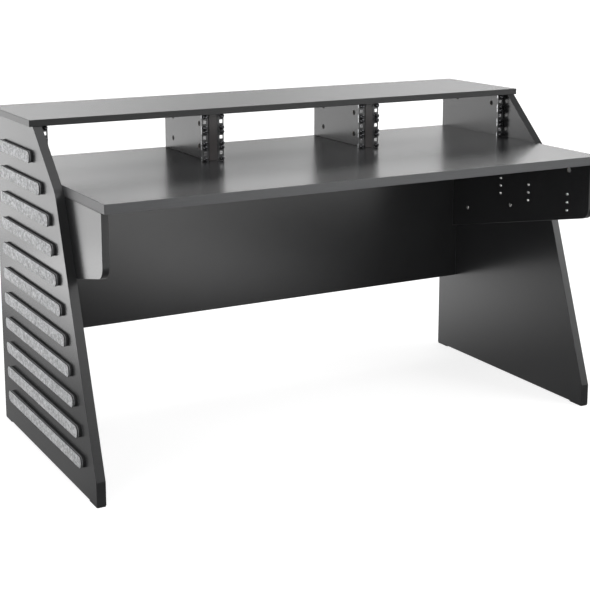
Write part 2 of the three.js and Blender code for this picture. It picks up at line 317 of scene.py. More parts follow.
def zinc():
    f = Finish("zinc_cast", metallic=1.0)
    cast = f.noise(1100, 4, 0.65)
    stain = f.noise(260, 3, 0.6)
    base = f.mix(f.span(cast, 0.3, 0.7), (0.78, 0.79, 0.80), (0.93, 0.93, 0.94))
    f.feed("Base Color", f.mix(f.span(stain, 0.55, 0.75, 0, 0.4), base, (0.58, 0.58, 0.59)))
    f.feed("Roughness", f.span(cast, 0.3, 0.7, 0.40, 0.55))
    f.feed("Normal", f.bump(cast, 0.00005, 0.5))
    return f.mat


def zinc_painted_shade():
    """Cast zinc made near-black for the locks in the uprights: painted shade, standing for the shade in their bores."""
    f = Finish("zinc_cast_painted_shade", metallic=1.0)
    cast = f.noise(1000, 4, 0.65)
    base = f.mix(f.span(cast, 0.3, 0.7), (0.002, 0.002, 0.002), (0.006, 0.006, 0.006))
    worn = f.span(f.noise(330, 3, 0.6), 0.60, 0.72)
    f.feed("Base Color", f.mix(f.math("MULTIPLY", worn, 0.4), base, (0.03, 0.03, 0.031)))
    f.feed("Roughness", f.span(cast, 0.3, 0.7, 0.35, 0.5))
    f.feed("Normal", f.bump(cast, 0.00006, 0.5))
    return f.mat


def nickel(name="nickel_plated", low=(0.72, 0.71, 0.69), high=(0.86, 0.855, 0.84), rough=(0.14, 0.24)):
    f = Finish(name, metallic=1.0)
    fine = f.noise(1400, 3, 0.6)
    base = f.mix(f.span(fine, 0.3, 0.7), low, high)
    f.feed("Base Color", base)
    f.feed("Roughness", f.span(fine, 0.3, 0.7, *rough))
    f.feed("Normal", f.bump(fine, 0.00001, 0.4))
    return f.mat


def spring_steel():
    f = Finish("spring_steel_plated", metallic=1.0)
    fine = f.noise(1200, 3, 0.6)
    base = f.mix(f.span(fine, 0.3, 0.7), (0.27, 0.275, 0.28), (0.40, 0.40, 0.41))
    f.feed("Base Color", base)
    f.feed("Roughness", f.span(fine, 0.3, 0.7, 0.26, 0.38))
    f.feed("Normal", f.bump(fine, 0.00002, 0.4))
    return f.mat


LAMINATE, BAND, CORE_PAINTED_SHADE = laminate(), edge_band(), board_core_painted_shade()
# The worktop's edge band: a lighter copy of the same band, painted light.
WORKTOP_BAND_PAINTED_LIGHT = edge_band("edge_band_worktop_painted_light", grey(0.058, 0.03), grey(0.072, 0.03), 0.12)
# The shelf's edge band: a darker copy of the same band, painted shade.
SHELF_BAND_PAINTED_SHADE = edge_band("edge_band_shelf_painted_shade", grey(0.010, 0.03), grey(0.016, 0.03), 0.06)
# The dividers' edge band: a lighter copy of the same band, painted light.
DIVIDER_BAND_PAINTED_LIGHT = edge_band("edge_band_divider_painted_light", (0.043, 0.039, 0.039), (0.056, 0.051, 0.051))
FELT, FELT_CUT_PAINTED_LIGHT, BACKING = felt_face(), felt_edge_painted_light(), backing()
COAT, PLASTIC, BLACK_STEEL = powder_coat(), black_plastic(), black_steel()
ZINC, ZINC_PAINTED_SHADE, NICKEL, SPRING = zinc(), zinc_painted_shade(), nickel(), spring_steel()
SATIN_NICKEL = nickel("nickel_satin", (0.88, 0.875, 0.86), (0.97, 0.965, 0.955), (0.20, 0.28))


# ---------------------------------------------------------------- mesh kit, in millimetres until it is placed
def rounded(points, steps=4):
    """Corners of a closed outline, counterclockwise, some of them rounded: (u, v, radius)."""
    out, n = [], len(points)
    for i, (x, y, r) in enumerate(points):
        p = Vector((x, y))
        if not r:
            out.append(p)
            continue
        a = (Vector(points[i - 1][:2]) - p).normalized()
        b = (Vector(points[(i + 1) % n][:2]) - p).normalized()
        half = math.acos(max(-1.0, min(1.0, a.dot(b)))) / 2
        centre = p + (a + b).normalized() * (r / math.sin(half))
        s, e = p + a * (r / math.tan(half)) - centre, p + b * (r / math.tan(half)) - centre
        start = math.atan2(s.y, s.x)
        turn = (math.atan2(e.y, e.x) - start + math.pi) % (2 * math.pi) - math.pi
        for k in range(steps + 1):
            t = start + turn * k / steps
            out.append(centre + Vector((math.cos(t), math.sin(t))) * r)
    return out


def inset(points, d):
    """A convex outline, counterclockwise, moved inwards by d."""
    out, n = [], len(points)
    for i, p in enumerate(points):
        a, b = (p - points[i - 1]).normalized(), (points[(i + 1) % n] - p).normalized()
        na, nb = Vector((-a.y, a.x)), Vector((-b.y, b.x))
        out.append(p + (na + nb) * (d / (1 + na.dot(nb))))
    return out


def lying(x0, y0, z0):
    return lambda u, v, w: Vector((x0 + u, y0 + v, z0 + w)) * MM


def upright(x0):
    """(u, v) is (y, z) and w runs along +X."""
    return lambda u, v, w: Vector((x0 + w, u, v)) * MM


def facing(y0):
    """(u, v) is (x, z) and w runs towards -Y from y0."""
    return lambda u, v, w: Vector((u, y0 - w, v)) * MM


def new_object(name, mesh_or_bm, materials, body="root", replaces=(), sharp=40, weighted=True):
    if isinstance(mesh_or_bm, bmesh.types.BMesh):
        me = bpy.data.meshes.new(name)
        mesh_or_bm.to_mesh(me)
        mesh_or_bm.free()
    else:
        me = mesh_or_bm
        me.name = name
    for m in materials:
        me.materials.append(m)
    obj = bpy.data.objects.new(name, me)
    scene.collection.objects.link(obj)
    if sharp is not None:
        me.polygons.foreach_set("use_smooth", [True] * len(me.polygons))
        me.set_sharp_from_angle(angle=math.radians(sharp))
        if weighted:
            mod = obj.modifiers.new("normals", "WEIGHTED_NORMAL")
            mod.keep_sharp = True
            mod.weight = 60
    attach(obj, body)
    if replaces:
        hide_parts(*replaces)
    return obj


def ring_faces(bm, a, b, material):
    n = len(a)
    for i in range(n):
        j = (i + 1) % n
        f = bm.faces.new((a[i], a[j], b[j], b[i]))
        f.material_index = material


def circle(u, v, r, n):
    return [Vector((u + r * math.cos(2 * math.pi * k / n), v + r * math.sin(2 * math.pi * k / n))) for k in range(n)]


def board(name, outline, t, put, holes=(), soft=1.0, replaces=(), band=BAND):
    """A laminated board: flat faces, a thin edge band with rounded arrises and the fine joint line between band and face.
    holes are (u, v, radius, depth, side), side 1 the face at w = t and side 0 the face at w = 0."""
    bm = bmesh.new()
    k = 4
    arc = [(soft * (1 - math.cos(math.pi / 2 * i / k)), soft * math.sin(math.pi / 2 * i / k)) for i in range(k + 1)]
    top = [(d, t - soft + h, 1) for d, h in arc]
    joint = [(soft + 0.10, 0.0, 1), (soft + 0.22, 0.14, 1), (soft + 0.34, 0.0, 1)]
    profile = [(d, (t if side else 0) + (-h if side else h), m) for side in (0,) for d, h, m in reversed(joint)]
    profile += [(d, soft - h, 1) for d, h in reversed(arc)]
    profile += top
    profile += [(d, t - h, 1) for d, h, m in joint]
    rings = []
    for d, w, m in profile:
        rings.append([bm.verts.new(put(p.x, p.y, w)) for p in inset(outline, d)])
    for a, b in zip(rings, rings[1:]):
        ring_faces(bm, a, b, 1)
    for side, ring, w0, sign in ((0, rings[0], 0.0, 1), (1, rings[-1], t, -1)):
        edges = [bm.edges.get((ring[i], ring[(i + 1) % len(ring)])) for i in range(len(ring))]
        walls = []
        for u, v, r, depth, s in holes:
            if s != side:
                continue
            n = 28 if r > 5 else 18
            lips = []
            for rr, dd in ((r + 0.3, 0.0), (r, 0.3), (r, depth)):
                lips.append([bm.verts.new(put(p.x, p.y, w0 + sign * dd)) for p in circle(u, v, rr, n)])
            for a, b in zip(lips, lips[1:]):
                ring_faces(bm, a, b, 2)
            f = bm.faces.new(lips[-1])
            f.material_index = 2
            walls.append(lips[0])
            edges += [bm.edges.get((lips[0][i], lips[0][(i + 1) % n])) for i in range(n)]
        if walls:
            made = bmesh.ops.triangle_fill(bm, edges=edges, use_beauty=True, use_dissolve=False)
            for f in made["geom"]:
                if isinstance(f, bmesh.types.BMFace):
                    f.material_index = 0
        else:
            f = bm.faces.new(ring)
            f.material_index = 0
    bmesh.ops.recalc_face_normals(bm, faces=bm.faces)
    return new_object(name, bm, (LAMINATE, band, CORE_PAINTED_SHADE), replaces=replaces)


def lathe(profile, n, centre, axis_to, cap=True):
    """A closed turned solid: profile is (radius, height) from the axis at one end to the axis at the other, in mm. axis_to maps (x, y, h)."""
    bm = bmesh.new()
    rings = []
    for r, h in profile:
        if r < 1e-6:
            rings.append([bm.verts.new(axis_to(0, 0, h))])
        else:
            rings.append([bm.verts.new(axis_to(r * math.cos(2 * math.pi * k / n), r * math.sin(2 * math.pi * k / n), h)) for k in range(n)])
    for a, b in zip(rings, rings[1:]):
        if len(a) == 1 and len(b) == 1:
            continue
        for i in range(n):
            j = (i + 1) % n
            if len(a) == 1:
                bm.faces.new((a[0], b[i], b[j]))
            elif len(b) == 1:
                bm.faces.new((a[i], a[j], b[0]))
            else:
                bm.faces.new((a[i], a[j], b[j], b[i]))
    bmesh.ops.recalc_face_normals(bm, faces=bm.faces)
    return bm


def prism(points, h0, h1, axis_to, taper=1.0, centre=(0, 0)):
    """A straight or tapered bar: an outline from height h0 to h1."""
    bm = bmesh.new()
    c = Vector(centre)
    a = [bm.verts.new(axis_to(p.x, p.y, h0)) for p in points]
    b = [bm.verts.new(axis_to(c.x + (p.x - c.x) * taper, c.y + (p.y - c.y) * taper, h1)) for p in points]
    ring_faces(bm, a, b, 0)
    bm.faces.new(a)
    bm.faces.new(b)
    bmesh.ops.recalc_face_normals(bm, faces=bm.faces)
    return bm


def joined(parts):
    """Several bmeshes as one mesh, each with its own material number."""
    bm = bmesh.new()
    for part, material in parts:
        me = bpy.data.meshes.new("part")
        for f in part.faces:
            if material is not None:
                f.material_index = material
        part.to_mesh(me)
        part.free()
        bm.from_mesh(me)
        bpy.data.meshes.remove(me)
    return bm


def cut(body, tools):
    """body minus tools, both bmeshes; returns a mesh."""
    meshes = []
    for k, bm in enumerate((body, tools)):
        me = bpy.data.meshes.new("cut")
        bm.to_mesh(me)
        bm.free()
        meshes.append(me)
    a = bpy.data.objects.new("cut_a", meshes[0])
    b = bpy.data.objects.new("cut_b", meshes[1])
    for o in (a, b):
        scene.collection.objects.link(o)
    mod = a.modifiers.new("cut", "BOOLEAN")
    mod.operation, mod.solver, mod.object = "DIFFERENCE", "EXACT", b
    bpy.context.view_layer.update()
    made = bpy.data.meshes.new_from_object(a.evaluated_get(bpy.context.evaluated_depsgraph_get()))
    for o in (a, b):
        bpy.data.objects.remove(o)
    for me in meshes:
        bpy.data.meshes.remove(me)
    return made


def softened(mesh, width, angle=50, segments=2):
    """A small rounding on the sharp edges of a mesh."""
    o = bpy.data.objects.new("soft", mesh)
    scene.collection.objects.link(o)
    mod = o.modifiers.new("bevel", "BEVEL")
    mod.width, mod.segments, mod.limit_method = width * MM, segments, "ANGLE"
    mod.angle_limit = math.radians(angle)
    mod.use_clamp_overlap = True
    bpy.context.view_layer.update()
    made = bpy.data.meshes.new_from_object(o.evaluated_get(bpy.context.evaluated_depsgraph_get()))
    bpy.data.objects.remove(o)
    bpy.data.meshes.remove(mesh)
    return made


def copies(mesh, places):
    """The mesh repeated at each matrix, as one bmesh."""
    bm = bmesh.new()
    for m in places:
        before = len(bm.verts)
        bm.from_mesh(mesh)
        bm.verts.ensure_lookup_table()
        bmesh.ops.transform(bm, matrix=m, verts=bm.verts[before:])
    return bm


# ---------------------------------------------------------------- sizes, in millimetres, as in the solids
def mm_box(node):
    lo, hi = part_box(node)
    return [v / MM for v in lo], [v / MM for v in hi]


BACK = 392.0
SHELF_BOTTOM, WORKTOP_TOP, WORKTOP_BOTTOM = 907.0, 773.0, 748.0
INNER, OUTER, PANEL_T = 762.5, 787.5, 25.0
BAY = (2 * INNER - 2 * PANEL_T) / 3
DIVIDER_X = BAY / 2 + PANEL_T / 2
CAM_Y = {"front": BACK - 270, "rear": BACK - 85}
CAM_Z = {"top": SHELF_BOTTOM - 34, "bottom": WORKTOP_TOP + 35}
SKIRT_T = 18.0
INSERT_Y = [BACK - 355, BACK - 493.5, BACK - 677]
INSERT_Z = [594.0, 618.5, 643.0]
BOLTS = [("front", BACK - 405, 564.0), ("rear", BACK - 180, 517.0)]
SKIRT_CAM = (BACK - 680, 716.5)


# ---------------------------------------------------------------- boards
def rectangle(lo_u, lo_v, hi_u, hi_v, r=1.6):
    return rounded([(lo_u, lo_v, r), (hi_u, lo_v, r), (hi_u, hi_v, r), (lo_u, hi_v, r)], 3)


# The worktop's edge band is painted lighter and the shelf's painted darker than the others: painted light and painted
# shade.
for name, edge in (("worktop", WORKTOP_BAND_PAINTED_LIGHT), ("upper_shelf", SHELF_BAND_PAINTED_SHADE)):
    lo, hi = mm_box(name)
    board(name + "_board", rectangle(lo[0], lo[1], hi[0], hi[1], 2.0), hi[2] - lo[2], lying(0, 0, lo[2]), replaces=(name,), band=edge)

lo, hi = mm_box("modesty_panel")
board("modesty_board", rectangle(lo[0], lo[2], hi[0], hi[2]), hi[1] - lo[1], facing(hi[1]), replaces=("modesty_panel",), soft=0.8)

SIDE = rounded([
    (BACK - 755.5, 3, 2), (BACK, 3, 2), (BACK, SHELF_BOTTOM, 1.6), (BACK - 353, SHELF_BOTTOM, 1.6),
    (BACK - 514, 756.5, 75), (BACK - 755.5, 65, 14),
], 8)
for side, s in (("left", -1), ("right", 1)):
    holes = [(CAM_Y[w], CAM_Z["top"], 7.5, 13.0, 1 if s < 0 else 0) for w in ("front", "rear")]
    board(f"side_board_{side}", SIDE, PANEL_T, upright(-OUTER if s < 0 else INNER), holes, replaces=(f"side_panel_{side}",))

for side, s in (("left", -1), ("right", 1)):
    lo, hi = mm_box(f"divider_{side}")
    holes = [(CAM_Y[w], CAM_Z[l], 7.5, 13.0, 0) for w in ("front", "rear") for l in ("top", "bottom")]
    # the dividers take the edge band painted lighter, as painted light
    board(f"divider_board_{side}", rectangle(lo[1], lo[2], hi[1], hi[2]), hi[0] - lo[0], upright(lo[0]), holes, soft=0.8, replaces=(f"divider_{side}",), band=DIVIDER_BAND_PAINTED_LIGHT)

FRONT_LOW = 586.1
SKIRT = rounded([
    (BACK - 773, FRONT_LOW, 35), (BACK - 96, FRONT_LOW - 0.215 * 677, 2), (BACK - 96, WORKTOP_BOTTOM, 1.6), (BACK - 773, WORKTOP_BOTTOM, 1.6),
], 10)
for side, s in (("left", -1), ("right", 1)):
    face = 1 if s < 0 else 0
    holes = [(y, z, 3.3, 12.0, face) for y in INSERT_Y for z in INSERT_Z] + [(*SKIRT_CAM, 7.5, 13.0, face)]
    board(f"skirt_board_{side}", SKIRT, SKIRT_T, upright(-INNER if s < 0 else INNER - SKIRT_T), holes, replaces=(f"skirt_{side}",))


# ---------------------------------------------------------------- cam locks
def looking(x, y, z, s):
    """(a, b, h) with h along s times +X, from a point in mm."""
    return lambda a, b, h: Vector((x + s * h, y + s * a, z + b)) * MM


def local(a, b, h):
    return Vector((a, b, h)) * MM


def cross(reach, half, turn=0.0):
    """The outline of an upright cross, counterclockwise."""
    c, s = math.cos(turn), math.sin(turn)
    arm = [(reach, -half), (reach, half), (half, half)]
    points = []
    for k in range(4):
        for x, y in arm:
            points.append(Vector((x * c - y * s, x * s + y * c)))
        arm = [(-y, x) for x, y in arm]
    return points


def cam_mesh():
    body = lathe([(0, -12), (6.7, -12), (7.1, -11.6), (7.1, -3.2), (7.35, -3.0), (7.35, -0.45), (7.2, -0.12), (6.9, 0), (5.9, 0), (5.75, -0.18), (0, -0.18)], 40, None, local)
    me = cut(body, prism(cross(3.9, 0.85, 0.8), -3.6, 0.5, local))
    body = bmesh.new()
    body.from_mesh(me)
    bpy.data.meshes.remove(me)
    me = cut(body, prism([Vector((4.55, -0.7)), Vector((5.35, 0.0)), Vector((4.55, 0.7))], -0.6, 0.5, local))
    return softened(me, 0.06, 55, 1)


def at(x, y, z, s, turn=0.0):
    """A piece made with its axis along +Z, put so that the axis looks along s times +X."""
    m = Matrix(((0, 0, s, 0), (s, 0, 0, 0), (0, 1, 0, 0), (0, 0, 0, 1)))
    return Matrix.Translation(Vector((x, y, z)) * MM) @ m @ Matrix.Rotation(turn, 4, "Z")


CAM = cam_mesh()
cams = []
for name, x, s, levels in (
    ("side_left", -INNER, 1, ["top"]), ("side_right", INNER, -1, ["top"]),
    ("divider_left", -DIVIDER_X - PANEL_T / 2, -1, ["top", "bottom"]), ("divider_right", DIVIDER_X - PANEL_T / 2, -1, ["top", "bottom"]),
):
    for level in levels:
        for w in ("front", "rear"):
            cams.append((f"cam_{name}_{level}_{w}", x, s, CAM_Y[w], CAM_Z[level], 1 if level == "top" else -1))
for side, s in (("left", -1), ("right", 1)):
    cams.append((f"cam_skirt_{side}", s * (INNER - SKIRT_T), -s, SKIRT_CAM[0], SKIRT_CAM[1], 1))
for i, (name, x, s, y, z, up) in enumerate(cams):
    skirt = "skirt" in name
    m = at(x - s * (0.3 if skirt else 0.9), y, z, s, up * math.pi / 2 + 0.12 * math.sin(7.3 * i))
    # the locks in the uprights take the zinc painted near-black as painted shade; the skirts' keep plain zinc
    new_object(name + "_lock", copies(CAM, [m]), (ZINC if skirt else ZINC_PAINTED_SHADE,), replaces=(name,), sharp=35, weighted=False)


# ---------------------------------------------------------------- connector bolts and threaded inserts of the skirts
def bolt_mesh():
    body = lathe([(0, -17), (2.9, -17), (3.0, -16.6), (3.0, 0.02), (6.55, 0.02), (6.8, 0.3), (6.8, 0.7), (6.5, 1.25), (5.6, 1.75), (4.2, 2.08), (2.9, 2.2), (0, 2.2)], 40, None, local)
    key = prism(circle(0, 0, 2.3, 6), 0.6, 3.0, local)
    return softened(cut(body, key), 0.10, 55, 1)


BOLT = bolt_mesh()
for side, s in (("left", -1), ("right", 1)):
    for i, (where, y, z) in enumerate(BOLTS):
        m = at(s * (INNER - SKIRT_T), y, z, -s, 0.4 + i)
        new_object(f"bolt_{side}_{where}", copies(BOLT, [m]), (NICKEL,), replaces=(f"skirt_bolt_{side}_{where}",), sharp=35, weighted=False)


def insert_mesh():
    profile = [(1.65, -11.5), (3.25, -11.5), (3.25, -0.4), (4.55, -0.02), (4.75, 0.2), (4.6, 0.5), (2.75, 2.45), (2.45, 2.6), (2.15, 2.5), (1.9, 2.1), (1.8, 1.0), (2.0, -0.1)]
    depth = -0.6
    while depth > -10.8:  # the turns of the thread, as rings
        profile += [(2.0, depth), (1.65, depth - 0.3), (2.0, depth - 0.6)]
        depth -= 0.8
    bm = bmesh.new()
    n = 24
    rings = [[bm.verts.new(local(r * math.cos(2 * math.pi * k / n), r * math.sin(2 * math.pi * k / n), h)) for k in range(n)] for r, h in profile]
    for a, b in zip(rings, rings[1:] + rings[:1]):
        ring_faces(bm, a, b, 0)
    bmesh.ops.recalc_face_normals(bm, faces=bm.faces)
    me = bpy.data.meshes.new("insert")
    bm.to_mesh(me)
    bm.free()
    return me


INSERT = insert_mesh()
for side, s in (("left", -1), ("right", 1)):
    places = [at(s * (INNER - SKIRT_T), y, z, -s, 0.3 * k) for k, (y, z) in enumerate((y, z) for y in INSERT_Y for z in INSERT_Z)]
    new_object(f"threaded_inserts_{side}", copies(INSERT, places), (SATIN_NICKEL,), sharp=40, weighted=False)


# ---------------------------------------------------------------- rack rails, screws, cup washers and cage nuts
RAIL_Y, RAIL_T, FLANGE, DEPTH = BACK - 335 + 1.5, 2.0, 21.6, 28.0
RAIL_Z, RAIL_H, UNIT = 773.4, 133.0, 44.45
COLUMN = (BAY - 465.1) / 2
HOLES = [WORKTOP_TOP + 0.2 + u * UNIT + h for u in range(3) for h in (6.35, 22.225, 38.1)]
SCREWED = [WORKTOP_TOP + 0.2 + u * UNIT + h for u in range(3) for h in (6.35, 38.1)]
SIDE_HOLES = [RAIL_Z + 20, RAIL_Z + RAIL_H / 2, RAIL_Z + RAIL_H - 20]


def rail_mesh(x, s):
    """s is the side of the bay: the leg lies on the face at x, and the flange reaches into the bay."""
    def put(a, b, h):  # a from the leg's outer face into the bay, b from the flange's face back, h up
        return Vector((x - s * a, RAIL_Y + b, RAIL_Z + h)) * MM

    out_r, in_r = 2.6, 0.6
    quarter = [math.pi / 2 * i / 6 for i in range(7)]
    outline = [Vector((FLANGE, 0)), Vector((FLANGE, RAIL_T))]
    outline += [Vector((RAIL_T + in_r - in_r * math.sin(t), RAIL_T + in_r - in_r * math.cos(t))) for t in quarter]
    outline += [Vector((RAIL_T, DEPTH)), Vector((0, DEPTH))]
    outline += [Vector((out_r - out_r * math.cos(t), out_r - out_r * math.sin(t))) for t in quarter]
    bm = bmesh.new()
    lower = [bm.verts.new(put(p.x, p.y, 0)) for p in outline]
    upper = [bm.verts.new(put(p.x, p.y, RAIL_H)) for p in outline]
    ring_faces(bm, lower, upper, 0)
    bm.faces.new(lower)
    bm.faces.new(upper)
    bmesh.ops.recalc_face_normals(bm, faces=bm.faces)
    tools = []
    for z in HOLES:
        h = z - RAIL_Z
        square = rounded([(COLUMN - 4.75, h - 4.75, 0.7), (COLUMN + 4.75, h - 4.75, 0.7), (COLUMN + 4.75, h + 4.75, 0.7), (COLUMN - 4.75, h + 4.75, 0.7)], 2)
        tools.append((prism(square, -1, RAIL_T + 1, lambda a, b, w: put(a, w, b)), None))
    for z in SIDE_HOLES:
        h = z - RAIL_Z
        cone = lathe([(0, -1), (2.3, -1), (2.3, 0.9), (4.1, 2.05), (4.1, 3.0), (0, 3.0)], 24, None, lambda a, b, w: put(w, DEPTH - 10 + a, h + b))
        tools.append((cone, None))
    return softened(cut(bm, joined(tools)), 0.22, 55, 2)


def cross_tool(reach, depth, top):
    """The cross recess of a screw head, narrower at its bottom."""
    return prism(cross(reach, 0.45), top + 0.4, top - depth, local, 0.45)


def rack_screw_mesh():
    """An M6 pan head screw; height 0 is the underside of the head."""
    body = lathe([(0, -16), (2.2, -16), (2.9, -15.3), (2.9, 0), (5.7, 0), (6.0, 0.3), (6.0, 2.5), (5.75, 3.3), (5.1, 3.95), (4.0, 4.35), (2.5, 4.55), (0, 4.62)], 36, None, local)
    return softened(cut(body, cross_tool(3.4, 2.9, 4.5)), 0.09, 55, 1)


def cup_mesh():
    """A collar washer: a flat foot at height 0, a waist, and a seat under the screw head."""
    n = 36
    profile = [(3.2, 0.0), (5.9, 0.0), (6.2, 0.15), (6.28, 0.5), (6.24, 1.3), (5.95, 1.7), (5.2, 2.1), (4.95, 2.7), (4.95, 4.2), (5.2, 4.8), (5.75, 5.2), (5.95, 5.5), (5.95, 6.1), (5.7, 6.3), (3.2, 6.3)]
    bm = bmesh.new()
    rings = [[bm.verts.new(local(r * math.cos(2 * math.pi * k / n), r * math.sin(2 * math.pi * k / n), h)) for k in range(n)] for r, h in profile]
    for a, b in zip(rings, rings[1:] + rings[:1]):
        ring_faces(bm, a, b, 0)
    bmesh.ops.recalc_face_normals(bm, faces=bm.faces)
    me = bpy.data.meshes.new("cup")
    bm.to_mesh(me)
    bm.free()
    return me


def cage_nut_mesh():
    """A square nut in a spring cage, behind the flange: height 0 is the flange's rear face, and the cage's ears reach back to its front."""
    nut = cut(prism(rounded([(-5.2, -5.2, 0.6), (5.2, -5.2, 0.6), (5.2, 5.2, 0.6), (-5.2, 5.2, 0.6)], 2), -5.7, -0.7, local), prism(circle(0, 0, 3.02, 24), -7, 1, local))
    nut = softened(nut, 0.25, 55, 1)
    bm = bmesh.new()
    bm.from_mesh(nut)
    bpy.data.meshes.remove(nut)
    # the cage: one folded strip round the back of the nut, with ears through the square hole
    line = [(-5.9, 2.08), (-4.62, 2.08), (-4.62, -0.05), (-6.4, -0.05), (-6.8, -0.45), (-6.8, -5.9), (-6.3, -6.4), (6.3, -6.4), (6.8, -5.9), (6.8, -0.45), (6.4, -0.05), (4.62, -0.05), (4.62, 2.08), (5.9, 2.08)]
    inner = [(-5.9, 2.35), (-4.3, 2.35), (-4.3, -0.4), (-6.1, -0.4), (-6.4, -0.7), (-6.4, -5.6), (-6.1, -5.95), (6.1, -5.95), (6.4, -5.6), (6.4, -0.7), (6.1, -0.4), (4.3, -0.4), (4.3, 2.35), (5.9, 2.35)]
    loop = [Vector(p) for p in line] + [Vector(p) for p in reversed(inner)]
    cage = prism([Vector((p.x, p.y)) for p in loop], -5.6, 5.6, lambda a, b, w: Vector((a, w, b)) * MM)
    for low, high in ((-9.0, -3.9), (3.9, 9.0)):  # the ears are narrower than the back
        cage_cut = prism([Vector((low, -0.2)), Vector((high, -0.2)), Vector((high, 3)), Vector((low, 3))], -9, 9, lambda a, b, w: Vector((w, a, b)) * MM)
        me = cut(cage, cage_cut)
        cage = bmesh.new()
        cage.from_mesh(me)
        bpy.data.meshes.remove(me)
    hole = prism(circle(0, 0, 3.4, 24), -7, -5, local)
    cage = softened(cut(cage, hole), 0.08, 55, 1)
    bm.from_mesh(cage)
    bpy.data.meshes.remove(cage)
    me = bpy.data.meshes.new("cage_nut")
    bm.to_mesh(me)
    bm.free()
    return me


def wood_screw_mesh():
    """A countersunk screw in the rail's leg; height 0 is the leg's inner face."""
    body = lathe([(0, -15), (0.4, -14.6), (1.55, -12), (1.55, -2.4), (4.0, 0.0), (3.9, 0.12), (3.0, 0.3), (0, 0.34)], 32, None, local)
    return softened(cut(body, cross_tool(2.3, 1.7, 0.3)), 0.07, 55, 1)


RACK_SCREW, CUP, CAGE_NUT, WOOD_SCREW = rack_screw_mesh(), cup_mesh(), cage_nut_mesh(), wood_screw_mesh()


def toward_user(x, y, z, turn=0.0):
    """A piece made along +Z, put so that its axis looks towards -Y."""
    m = Matrix(((1, 0, 0, 0), (0, 0, -1, 0), (0, 1, 0, 0), (0, 0, 0, 1)))
    return Matrix.Translation(Vector((x, y, z)) * MM) @ m @ Matrix.Rotation(turn, 4, "Z")


BAYS = (("left", -INNER, -DIVIDER_X - PANEL_T / 2), ("centre", -DIVIDER_X + PANEL_T / 2, DIVIDER_X - PANEL_T / 2), ("right", DIVIDER_X + PANEL_T / 2, INNER))
turn_seed = 0
for bay, left, right in BAYS:
    for side, x, s in (("left", left, -1), ("right", right, 1)):
        tag = f"bay_{bay}_{side}"
        new_object(f"rail_{tag}", rail_mesh(x, s), (COAT,), replaces=(f"rack_rail_{tag}",), sharp=40)
        cx = x - s * COLUMN
        turns = []
        for z in SCREWED:
            turn_seed += 1
            turns.append(2.399963 * turn_seed)
        new_object(f"cup_washers_{tag}", copies(CUP, [toward_user(cx, RAIL_Y, z) for z in SCREWED]), (PLASTIC,), sharp=40, weighted=False)
        new_object(f"rack_screws_{tag}", copies(RACK_SCREW, [toward_user(cx, RAIL_Y - 6.35, z, a) for z, a in zip(SCREWED, turns)]), (BLACK_STEEL,), sharp=35, weighted=False)
        new_object(f"cage_nuts_{tag}", copies(CAGE_NUT, [toward_user(cx, RAIL_Y + RAIL_T, z) for z in SCREWED]), (SPRING,), sharp=35, weighted=False)
        new_object(f"rail_screws_{tag}", copies(WOOD_SCREW, [at(x - s * (RAIL_T - 0.15), RAIL_Y + DEPTH - 10, z, -s, 1.1 * k + turn_seed) for k, z in enumerate(SIDE_HOLES)]), (BLACK_STEEL,), sharp=35, weighted=False)


# ---------------------------------------------------------------- side strips: felt on a black backing
STRIP_H, STRIP_R, BACKING_T, FELT_T = 32.5, 13.0, 4.0, 6.0
RIM = 1.1


def half_height(u, length, r, h):
    """Half the height of a bar with rounded ends at u along its length."""
    d = min(u, length - u)
    if d >= r:
        return h / 2
    d = max(d, 0.0)
    return h / 2 - r + math.sqrt(max(0.0, r * r - (r - d) ** 2))


